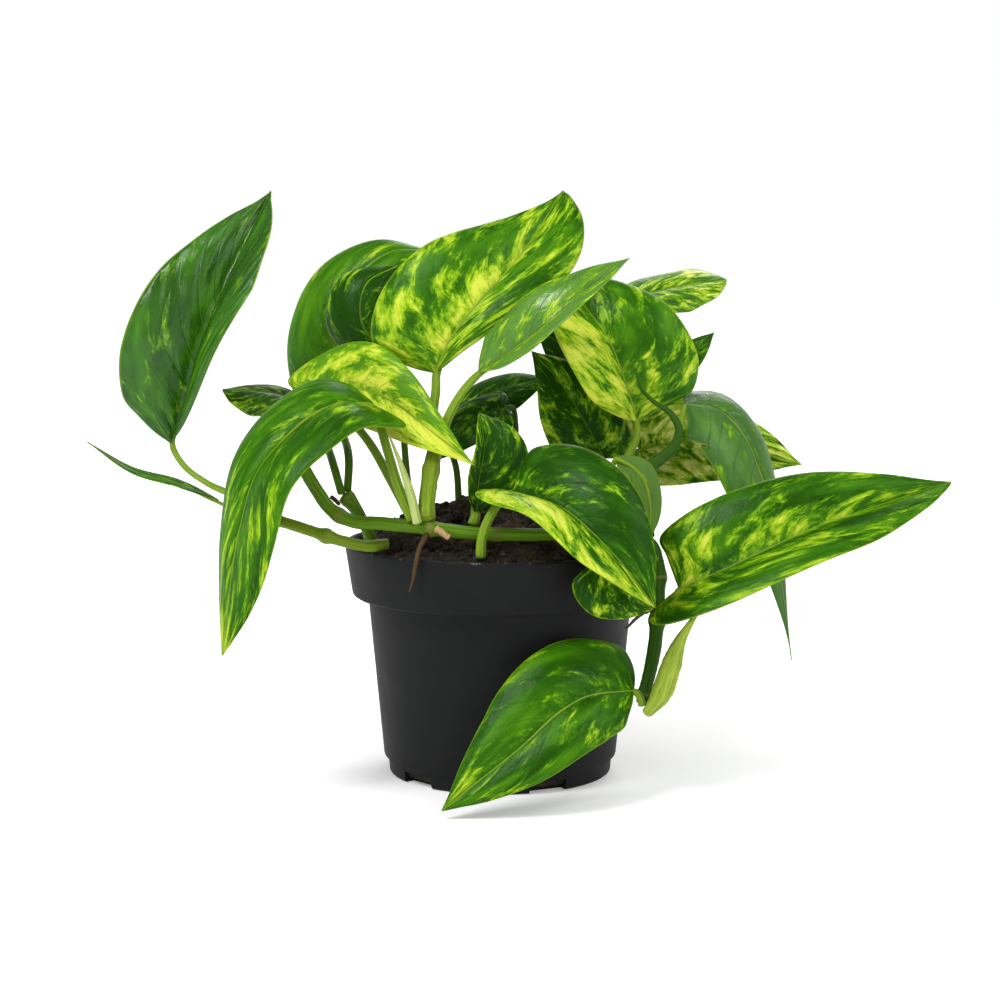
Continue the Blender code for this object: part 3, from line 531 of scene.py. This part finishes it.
def leaf_colours(g, look, under):
    """Marbled green and yellow, streaked along the side veins, with midrib and pale rim."""
    seed = look["seed"] * 7.31
    at, across, _ = g.split(g.uv("blade"))
    place, side, out, vein = vein_lines(g)
    streak = g.noise(g.vector(g.math("MULTIPLY", vein, 13.0), g.math("MULTIPLY", out, 1.3),
                              g.math("MULTIPLY_ADD", side, 3.0, seed)), 1.0, 6.0, 0.64, 0.5)
    patch = g.noise(g.vector(at, across, seed + 3.0), 2.6, 3.0, 0.55, 0.5)
    fleck = g.noise(g.vector(g.math("MULTIPLY", vein, 60.0), g.math("MULTIPLY", out, 16.0), seed),
                    1.0, 4.0, 0.6, 0.8)
    gold = g.math("MULTIPLY_ADD", patch, 0.70, look["gold"] - 0.35)
    gold = g.math("MULTIPLY_ADD", streak, 1.3, g.math("SUBTRACT", gold, 0.65))
    gold = g.math("MULTIPLY_ADD", fleck, 0.42, g.math("SUBTRACT", gold, 0.21))
    for key, where in (("left", g.step(side, 0.1, -0.3)), ("right", g.step(side, -0.1, 0.3)),
                       ("mid", g.step(out, 0.5, 0.0)), ("edge", g.step(out, 0.5, 1.0)),
                       ("base", g.step(place, 0.45, 0.1)), ("tip", g.step(place, 0.7, 1.0))):
        if look.get(key):
            gold = g.math("MULTIPLY_ADD", where, look[key], gold)
    tone = g.noise(g.vector(g.math("MULTIPLY", vein, 5.0), g.math("MULTIPLY", out, 1.2),
                            g.math("MULTIPLY_ADD", side, 2.0, seed + 11.0)), 1.0, 5.0, 0.6, 0.3)
    lit = g.math("ADD", tone, look["light"] - 0.3)
    green = g.mix(g.step(lit, 0.32, 0.72), DEEP, MIDDLE)
    green = g.mix(g.step(lit, 0.55, 0.95), green, BRIGHT)
    pale = CREAM if look["cream"] else YELLOW
    # Painted sheen: grey-green mixed into the green stands in for the whitish sheen on glossy leaves.
    if look["sheen_grey"]:
        green = g.mix(look["sheen_grey"], green, SHEEN_GREY)
    col = g.mix(g.step(gold, -0.16, 0.06), green, g.mix(0.65, MIDDLE, BRIGHT))
    col = g.mix(g.step(gold, -0.04, 0.13), col, LIME)
    col = g.mix(g.step(gold, 0.07, 0.30), col, pale)
    wave = g.math("COSINE", g.math("MULTIPLY", vein, 2 * np.pi * VEINS))
    line = g.math("MULTIPLY", g.step(wave, 0.95, 1.0), g.step(out, 1.0, 0.3))
    col = g.mix(g.math("MULTIPLY", line, 0.22), col, DEEP)
    # Painted shade: the green is darkened either side of the midrib, where the groove lies in shade.
    painted_groove_shade = g.step(g.math("ABSOLUTE", across), 0.08, 0.02)
    col = g.mix(g.math("MULTIPLY", painted_groove_shade, 0.30), col, DEEP)
    rib = g.step(g.math("ABSOLUTE", across), 0.020, 0.006)
    col = g.mix(g.math("MULTIPLY", rib, 0.75), col, g.mix(0.5, BRIGHT, LIME))
    col = g.mix(g.math("MULTIPLY", g.step(out, 0.970, 0.998), 0.5), col, LIME)
    if under:
        col = g.mix(0.5, col, UNDERSIDE)
    return col, line, tone


def leaf_skin(name, look, under=False):
    """Waxy leaf surface, its veins sunk and its skin finely crinkled."""
    g = Graph(name)
    col, line, tone = leaf_colours(g, look, under)
    spot = g.node("ShaderNodeTexCoord").outputs["Object"]
    grain = g.noise(spot, 900.0, 2.0)
    crinkle = g.noise(spot, 210.0, 3.0, 0.5, 0.4)
    height = g.math("MULTIPLY_ADD", grain, 0.20, g.math("MULTIPLY", line, -0.9))
    height = g.math("MULTIPLY_ADD", crinkle, look["crinkle"], height)
    if look["pucker"]:
        _, side, _, vein = vein_lines(g)
        patch = g.vector(g.math("MULTIPLY", vein, 2 * VEINS), g.math("MULTIPLY", side, 4.0), 0.0)
        height = g.math("MULTIPLY_ADD", g.cells(patch, 1.0, "SMOOTH_F1"), -look["pucker"], height)
    g.bump(height, 0.45, 0.0006)
    low = 0.52 if under else look["rough"]
    g.set(Base_Color=col, Roughness=g.step(tone, 0.2, 0.8, low - 0.06, low + 0.10),
          Specular_IOR_Level=0.08 if under else look["gloss"])
    return g.mat


def stem_skin(name, dark, light, rough=0.42, knots=(), brown=0.0):
    """Waxy stalk colour, streaked lengthwise, darker and corky at its knots."""
    g = Graph(name)
    run, turn, _ = g.split(g.uv("blade"))
    spin = g.math("MULTIPLY", turn, 2 * np.pi)
    ring = g.vector(g.math("COSINE", spin), g.math("SINE", spin), g.math("MULTIPLY", run, 1.6))
    streak = g.noise(ring, 3.2, 4.0, 0.6)
    fine = g.noise(g.vector(g.math("MULTIPLY", g.math("COSINE", spin), 9.0),
                            g.math("MULTIPLY", g.math("SINE", spin), 9.0), run), 1.0, 2.0)
    share = g.math("MULTIPLY_ADD", fine, 0.35, g.math("MULTIPLY", streak, 0.8))
    col = g.mix(g.step(share, 0.325, 0.72), dark, light)
    for place, _ in knots:
        near = g.math("ABSOLUTE", g.math("SUBTRACT", run, place))
        wobble = g.math("MULTIPLY_ADD", fine, 0.012, near)
        col = g.mix(g.math("MULTIPLY", g.step(wobble, 0.020, 0.008), 0.6), col, KNOT_BROWN)
    if brown:
        col = g.mix(g.math("MULTIPLY", g.step(fine, 0.5, 0.75), brown), col, ROOT_DARK)
    grain = g.noise(g.node("ShaderNodeTexCoord").outputs["Object"], 700.0, 3.0)
    g.bump(g.math("MULTIPLY_ADD", fine, 1.0, g.math("MULTIPLY", grain, 0.4)), 0.35, 0.0005)
    g.set(Base_Color=col, Roughness=g.step(grain, 0.2, 0.8, rough - 0.08, rough + 0.10),
          Specular_IOR_Level=0.11)
    return g.mat


def soil_skin():
    """Damp dark soil with paler fibres."""
    g = Graph("soil_dark")
    spot = g.node("ShaderNodeTexCoord").outputs["Object"]
    big = g.noise(spot, 140.0, 6.0, 0.65)
    chips = g.cells(spot, 420.0)
    col = g.mix(g.step(big, 0.35, 0.70), (0.006, 0.004, 0.002), (0.040, 0.024, 0.011))
    col = g.mix(g.step(g.noise(spot, 520.0, 2.0), 0.62, 0.75), col, (0.130, 0.080, 0.038))
    g.bump(g.math("ADD", g.noise(spot, 600.0, 4.0, 0.7), chips), 0.8, 0.0012)
    g.set(Base_Color=col, Roughness=g.step(big, 0.3, 0.7, 0.80, 1.0), Specular_IOR_Level=0.3)
    return g.mat


def pot_skin():
    """Matt black moulded plastic, dusty here and there, with pale water marks along the lip."""
    g = Graph("pot_plastic")
    spot = g.node("ShaderNodeTexCoord").outputs["Object"]
    _, _, height = g.split(spot)
    cloud = g.noise(spot, 38.0, 4.0)
    grain = g.noise(spot, 1500.0, 2.0)
    col = g.mix(g.step(cloud, 0.3, 0.75), (0.0048, 0.0052, 0.0053), (0.0080, 0.0086, 0.0089))
    marks = g.math("MULTIPLY", g.step(g.noise(spot, 260.0, 4.0, 0.7), 0.56, 0.66),
                   g.step(height, 0.0886, 0.0894))
    col = g.mix(g.math("MULTIPLY", marks, 0.45), col, (0.26, 0.25, 0.23))
    g.bump(grain, 0.12, 0.0003)
    g.set(Base_Color=col, Roughness=g.step(cloud, 0.2, 0.8, 0.50, 0.64), Specular_IOR_Level=0.12)
    return g.mat


def blade_frame(leaf, look, rows, cols):
    """Points of a leaf blade with its upward directions, and its coordinates along and across."""
    e = np.linspace(0, 1, rows + 1) ** 1.15
    root = e ** 1.25
    wide = 2 * cols + 1
    grid = np.zeros((rows + 1, wide, 3))
    up = np.zeros((rows + 1, wide, 3))
    blade = np.zeros((rows + 1, wide, 2))
    veins = np.zeros((rows + 1, wide, 2))
    seed = look["seed"]
    for j in range(wide):
        q = abs(j - cols) / cols
        q = q * (1.25 - 0.25 * q)
        side = "left" if j < cols else "right"
        sign = -1.0 if j < cols else 1.0
        place, width = edge_shape(e, *leaf[side[0]])
        at = root + (place - root) * q
        ahead = heading(leaf["rib"], at)
        near = np.asarray(leaf[side], float)
        far = np.asarray(leaf.get(side + "2", leaf[side]), float)
        mix = np.clip((at - 0.2) / 0.6, 0, 1)[:, None]
        mix = mix * mix * (3 - 2 * mix)
        out = near * (1 - mix) + far * mix
        half = np.linalg.norm(out, axis=1, keepdims=True)
        out = out - ahead * (out * ahead).sum(1, keepdims=True)
        out = out / np.linalg.norm(out, axis=1, keepdims=True)
        rise = np.cross(out, ahead) * sign
        rise = rise / np.linalg.norm(rise, axis=1, keepdims=True)
        span = half * width[:, None]
        quilt = look["quilt"] * np.minimum(1.0, half[:, 0] / 20) * width
        ridge = quilt * np.sin(np.pi * q) ** 0.7 * (
            0.5 - 0.5 * np.cos(2 * np.pi * VEINS * (e - VEIN_LEAN * q))) ** 0.8
        phase = 2 * np.pi * (2.6 * e + 0.37 * seed + 0.4 * sign)
        ripple = 0.45 * np.minimum(1.0, half[:, 0] / 15) ** 2 * q * q * np.sin(phase) * width
        groove = -0.35 * np.exp(-(q * half[:, 0] / 0.9) ** 2) * width
        lift = (ridge + ripple + groove)[:, None]
        grid[:, j] = along(leaf["rib"], at) + span * q * out + (span * 0.4 * q * (1 - q) + lift) * rise
        up[:, j] = rise
        blade[:, j] = np.stack((at, sign * width * q), 1)
        veins[:, j] = np.stack((e, np.full_like(e, sign * q)), 1)
    run = np.gradient(grid, axis=0)
    across = np.gradient(grid, axis=1)
    normal = np.cross(across, run)
    size = np.linalg.norm(normal, axis=2, keepdims=True)
    normal = np.where(size > 1e-9, normal / np.maximum(size, 1e-9), up)
    return grid, normal, blade, veins


def blade_mesh(leaf, look):
    """Vertices, faces, coordinates and finish numbers of a leaf blade with its thickness."""
    grid, normal, blade, veins = blade_frame(leaf, look, LEAF_ROWS, LEAF_COLS)
    rows, wide = grid.shape[0] - 1, grid.shape[1]
    middle = wide // 2

    def pick(field):
        inner = field[1:rows].reshape(-1, field.shape[2])
        return np.vstack((field[0, middle], field[rows, middle], inner))

    points, ups = pick(grid), pick(normal)
    rim = np.ones(len(points))
    rim[2:] = np.tile(1.0 - 0.45 * (np.abs(np.arange(wide) - middle) / middle) ** 4, rows - 1)
    half = ups * (LEAF_THICK / 2 * rim)[:, None]
    verts = np.vstack((points + half, points - half))
    count = len(points)
    coords = np.hstack((pick(blade), pick(veins)))
    coords = np.vstack((coords, coords))

    def index(r, c):
        return 0 if r == 0 else 1 if r == rows else 2 + (r - 1) * wide + c

    faces, slots = [], []
    for i in range(rows):
        for j in range(wide - 1):
            ring = []
            for r, c in ((i, j), (i, j + 1), (i + 1, j + 1), (i + 1, j)):
                if index(r, c) not in ring:
                    ring.append(index(r, c))
            faces.append(ring)
            slots.append(0)
            faces.append([k + count for k in reversed(ring)])
            slots.append(1)
    for i in range(rows):
        for c in (0, wide - 1):
            a, b = index(i, c), index(i + 1, c)
            ring = [a, b, b + count, a + count]
            faces.append(ring if c == 0 else ring[::-1])
            slots.append(0)
    return verts, faces, coords, slots


def tube_mesh(points, radii, steps, sides, knots=(), cleft=0.0, flat=1.0, rough=0.0, seed=0.0):
    """Vertices, faces and coordinates of a round stem along a smooth curve, with rounded ends."""
    at = np.linspace(0, 1, steps + 1)
    path = along(points, at)
    wide = np.interp(at, np.linspace(0, 1, len(radii)), radii)
    for place, size in knots:
        off = (at - place) / (2.2 / (np.linalg.norm(np.diff(path, axis=0), axis=1).sum()))
        wide = wide + size * np.exp(-off * off)
    ahead = np.gradient(path, axis=0)
    ahead = ahead / np.linalg.norm(ahead, axis=1, keepdims=True)
    first = np.array((0.0, -1.0, 0.0))
    verts, coords = [], []
    for i in range(steps + 1):
        first = first - ahead[i] * first.dot(ahead[i])
        first = first / np.linalg.norm(first)
        second = np.cross(ahead[i], first)
        for k in range(sides):
            angle = 2 * np.pi * k / sides
            reach = wide[i] * (1.0 - cleft * np.exp(-((angle - np.pi * 0.35) / 0.35) ** 2))
            if rough:
                spot = Vector((k * 0.9, i * 0.5, seed))
                reach *= 1.0 + rough * noise.noise(spot)
            verts.append(path[i] + reach * (np.cos(angle) * first * flat + np.sin(angle) * second))
            coords.append((at[i], k / sides, at[i], 0.0))
    verts += [path[0] - ahead[0] * wide[0] * 0.35, path[-1] + ahead[-1] * wide[-1] * 0.35]
    coords += [(0.0, 0.5, 0.0, 0.0), (1.0, 0.5, 1.0, 0.0)]
    faces = []
    for i in range(steps):
        for k in range(sides):
            a, b = i * sides + k, i * sides + (k + 1) % sides
            faces.append([a, b, b + sides, a + sides])
    foot, head = len(verts) - 2, len(verts) - 1
    for k in range(sides):
        faces.append([foot, (k + 1) % sides, k])
        faces.append([head, steps * sides + k, steps * sides + (k + 1) % sides])
    return np.array(verts), faces, np.array(coords)


def make(name, verts, faces, coords, slots, finishes, node):
    """One shown piece standing for a CAD node."""
    mesh = bpy.data.meshes.new(name)
    mesh.from_pydata([Vector(v) * MM for v in verts], [], faces)
    for finish in finishes:
        mesh.materials.append(finish)
    if slots is not None:
        mesh.polygons.foreach_set("material_index", slots)
    if coords is not None:
        loops = np.zeros(len(mesh.loops), int)
        mesh.loops.foreach_get("vertex_index", loops)
        for label, pair in (("blade", coords[:, 0:2]), ("veins", coords[:, 2:4])):
            layer = mesh.uv_layers.new(name=label)
            layer.data.foreach_set("uv", pair[loops].ravel())
    mesh.update()
    mesh.shade_smooth()
    obj = bpy.data.objects.new(name, mesh)
    bpy.context.scene.collection.objects.link(obj)
    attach(obj, "root")
    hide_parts(node)
    return obj


def leaf(name, spec, look, slot, stalk_skin):
    """A leaf: its blade, and its stalk running on under the blade as the rib."""
    verts, faces, coords, slots = blade_mesh(spec, look)
    at = np.array(RIB_PLACES)
    ahead = heading(spec["rib"], at)
    across = np.asarray(spec["right"], float) - np.asarray(spec["left"], float)
    under = np.cross(ahead, across)
    under = under / np.linalg.norm(under, axis=1, keepdims=True)
    under = under * np.array(RIB_DEPTHS)[:, None]
    points = list(spec["stalk"]) + list(along(spec["rib"], at) + under)
    last = spec["radii"][-1]
    stalk_radii = np.interp(np.linspace(0, 1, len(spec["stalk"])),
                            np.linspace(0, 1, len(spec["radii"])), spec["radii"])
    radii = np.interp(np.linspace(0, 1, 12), run_of(points),
                      [*stalk_radii, last, last * 0.7, *RIB_RADII])
    more, rings, places = tube_mesh(points, radii, 60, 12)
    places[:, 3] = 0.0
    rings = [[k + len(verts) for k in ring] for ring in rings]
    slots = slots + [2] * len(rings)
    finishes = [leaf_skin(name + "_top", look), leaf_skin(name + "_under", look, True), stalk_skin]
    return make(name, np.vstack((verts, more)), faces + rings, np.vstack((coords, places)), slots,
                finishes, name)


def revolve(profile, steps):
    """Vertices and faces of a profile turned about Z, closed where it meets the axis."""
    verts, faces, rings = [], [], []
    for radius, height in profile:
        if radius == 0.0:
            rings.append([len(verts)])
            verts.append((0.0, 0.0, height))
            continue
        rings.append(list(range(len(verts), len(verts) + steps)))
        for k in range(steps):
            angle = 2 * np.pi * k / steps
            verts.append((radius * np.cos(angle), radius * np.sin(angle), height))
    for a, b in zip(rings, rings[1:]):
        for k in range(steps):
            n = (k + 1) % steps
            if len(a) == 1:
                faces.append([a[0], b[n], b[k]])
            elif len(b) == 1:
                faces.append([a[k], a[n], b[0]])
            else:
                faces.append([a[k], a[n], b[n], b[k]])
    return np.array(verts), faces


def pot():
    """Thin-walled nursery pot with drain notches cut into its foot."""
    verts, faces = revolve(POT_PROFILE, POT_STEPS)
    obj = make("pot", verts, faces, None, None, [pot_skin()], "pot")
    body = bmesh.new()
    body.from_mesh(obj.data)
    bmesh.ops.recalc_face_normals(body, faces=body.faces)
    body.to_mesh(obj.data)
    body.free()
    for k in range(NOTCHES):
        angle = np.radians(NOTCH_START + k * 360.0 / NOTCHES)
        away = Vector((np.sin(angle), -np.cos(angle), 0.0))
        bpy.ops.mesh.primitive_cube_add(size=1.0, location=away * NOTCH_REACH)
        cut = bpy.context.object
        cut.name = "notch_%d" % k
        cut.scale = NOTCH_SIZE
        cut.rotation_euler = Euler((0.0, 0.0, angle - np.pi / 2))
        cut.hide_render = True
        mod = obj.modifiers.new("notch", "BOOLEAN")
        mod.solver = "EXACT"
        mod.operation = "DIFFERENCE"
        mod.object = cut
    obj.data.set_sharp_from_angle(angle=np.radians(40))
    return obj


def heap(x, y):
    """Height of the soil heaped up behind the middle stems and at the right."""
    behind = 5.0 * np.exp(-((x + 8.0) / 17.0) ** 2 - ((y - 12.0) / 13.0) ** 2)
    return behind + 3.0 * np.exp(-((x - 38.0) / 10.0) ** 2 - ((y - 8.0) / 12.0) ** 2)


def soil():
    """Crumbly potting soil: a rough mound with loose crumbs on it."""
    reach = [r for r, z in SOIL_TOP]
    level = [z for r, z in SOIL_TOP]
    radii = np.linspace(0, SOIL_RADIUS, SOIL_RINGS)
    heights = spline(reach, level, radii)
    profile = [(float(r), float(z)) for r, z in zip(radii, heights)] + list(SOIL_PROFILE[1:])
    verts, faces = revolve(profile, SOIL_STEPS)
    top = 1 + (len(radii) - 1) * SOIL_STEPS
    for i in range(top):
        x, y, z = verts[i]
        spot = Vector((x, y, 3.0))
        inside = min(1.0, (57.4 - np.hypot(x, y)) / 5.0)
        rough = 1.5 * noise.noise(spot * 0.22) + 1.0 * noise.noise(spot * 0.55)
        rough += 0.55 * noise.noise(spot * 1.3)
        verts[i][2] = z + 0.9 * lump(x, y) * inside + rough * inside - 0.9 * inside + heap(x, y)
    random = np.random.default_rng(5)
    ball = bmesh.new()
    bmesh.ops.create_icosphere(ball, subdivisions=1, radius=1.0)
    shape = np.array([v.co[:] for v in ball.verts])
    tris = [[v.index for v in f.verts] for f in ball.faces]
    ball.free()
    chunks, rings = [verts], list(faces)
    count = len(verts)
    for _ in range(CRUMBS):
        radius = 56.0 * np.sqrt(random.random())
        angle = random.random() * 2 * np.pi
        x, y = radius * np.cos(angle), radius * np.sin(angle)
        inside = min(1.0, (57.4 - radius) / 5.0)
        z = float(spline(reach, level, [radius])[0])
        z += 0.9 * lump(x, y) * inside - 0.9 * inside + heap(x, y)
        size = 0.35 + 1.5 * random.random() ** 3
        bits = shape * (size * (0.6 + 0.8 * random.random(3)))
        bits = bits * (0.8 + 0.4 * random.random((len(shape), 1)))
        turn = np.array(Euler(tuple(random.random(3) * 6.28)).to_matrix())
        bits = bits @ turn.T + np.array((x, y, z + 0.35))
        if np.hypot(bits[:, 0], bits[:, 1]).max() > SOIL_LIMIT:
            continue
        chunks.append(bits)
        rings.extend([[k + count for k in tri] for tri in tris])
        count += len(bits)
    return make("soil", np.vstack(chunks), rings, None, None, [soil_skin()], "soil")


def chunk(skin):
    """A dark lump of bark and soil at the rim."""
    ball = bmesh.new()
    bmesh.ops.create_icosphere(ball, subdivisions=4, radius=1.0)
    verts = []
    for vert in ball.verts:
        x, y, z = vert.co
        bump = 1.0 + 0.16 * np.sin(5 * x + 1) * np.cos(4 * z) + 0.12 * np.sin(7 * y + 3 * z)
        bump += 0.22 * noise.noise(vert.co * 2.6) + 0.10 * noise.noise(vert.co * 7.0) - 0.05
        verts.append([c + v * size * bump for c, v, size in zip(CHUNK_PLACE, vert.co, CHUNK_SIZE)])
    faces = [[v.index for v in f.verts] for f in ball.faces]
    ball.free()
    return make("bark_chunk", verts, faces, None, None, [skin], "bark_chunk")


def camera():
    lens = bpy.data.cameras.new("camera")
    lens.lens = LENS
    view = bpy.data.objects.new("camera", lens)
    view.location = CAMERA_PLACE
    view.rotation_euler = Euler((np.radians(90 - CAMERA_TILT), 0.0, 0.0))
    bpy.context.scene.collection.objects.link(view)
    bpy.context.scene.camera = view


def white_floor():
    """Floor that turns to plain white away from the pot."""
    bpy.ops.mesh.primitive_plane_add(size=6.0, location=(0.0, 1.2, -0.0002))
    floor = bpy.context.object
    floor.name = "floor"
    g = Graph("floor_white")
    far = g.node("ShaderNodeVectorMath", operation="LENGTH")
    g.put(far.inputs[0], g.node("ShaderNodeNewGeometry").outputs["Position"])
    g.set(Base_Color=(0.86, 0.86, 0.86), Roughness=0.9, Specular_IOR_Level=0.0,
          Emission_Color=(1.0, 1.0, 1.0),
          Emission_Strength=g.step(far.outputs[1], 0.15, 0.8, 0.25, 0.85))
    floor.data.materials.append(g.mat)


def sky():
    """White all round near the horizon, dimmer overhead."""
    world = bpy.data.worlds.new("studio")
    bpy.context.scene.world = world
    world.use_nodes = True
    tree = world.node_tree
    direction = tree.nodes.new("ShaderNodeTexCoord").outputs["Generated"]
    height = tree.nodes.new("ShaderNodeSeparateXYZ")
    tree.links.new(direction, height.inputs[0])
    fade = tree.nodes.new("ShaderNodeMapRange")
    fade.interpolation_type = "SMOOTHSTEP"
    for socket, value in zip(fade.inputs[1:5], (0.20, 0.50, 1.0, 0.30)):
        socket.default_value = value
    tree.links.new(height.outputs[2], fade.inputs[0])
    tree.links.new(fade.outputs[0], tree.nodes["Background"].inputs[1])
    tree.nodes["Background"].inputs[0].default_value = (1.0, 1.0, 1.0, 1.0)


def lamps():
    for name, place, size, power in LAMPS:
        light = bpy.data.lights.new(name, "AREA")
        light.size = size
        light.energy = power
        lamp = bpy.data.objects.new(name, light)
        lamp.location = place
        aim = Vector(AIM) - Vector(place)
        lamp.rotation_euler = aim.to_track_quat("-Z", "Y").to_euler()
        bpy.context.scene.collection.objects.link(lamp)


def stem(name, points, radii, steps, finish):
    """A vine, shoot, sheath or root as one round piece."""
    dark, light = SKINS[finish]
    root = finish in ("root_brown", "stub_tan")
    knots = KNOTS.get(name, ())
    skin = stem_skin(name + "_skin", dark, light, 0.8 if root else 0.42, knots, 0.5 if root else 0.0)
    verts, faces, coords = tube_mesh(points, radii, steps * 6, 20, knots, CLEFTS.get(name, 0.0),
                                     FLATS.get(name, 1.0), 0.5 if root else 0.05, len(name))
    return make(name, verts, faces, coords, None, [skin], name)


camera()
white_floor()
sky()
lamps()
bpy.context.scene.view_settings.view_transform = "Standard"
pot()
dirt = soil()
chunk(dirt.data.materials[0])
for name, (points, radii, steps, finish) in STEMS.items():
    stem(name, points, radii, steps, finish)
pale_stalk = stem_skin("stalk_pale", *PALE_STALK)
dark_stalk = stem_skin("stalk_dark", *DARK_STALK)
for name, spec in LEAVES.items():
    stalk_skin = dark_stalk if name in DARK_STALKS else pale_stalk
    leaf(name, spec, {**PLAIN, **LOOKS[name]}, SLOTS[name], stalk_skin)
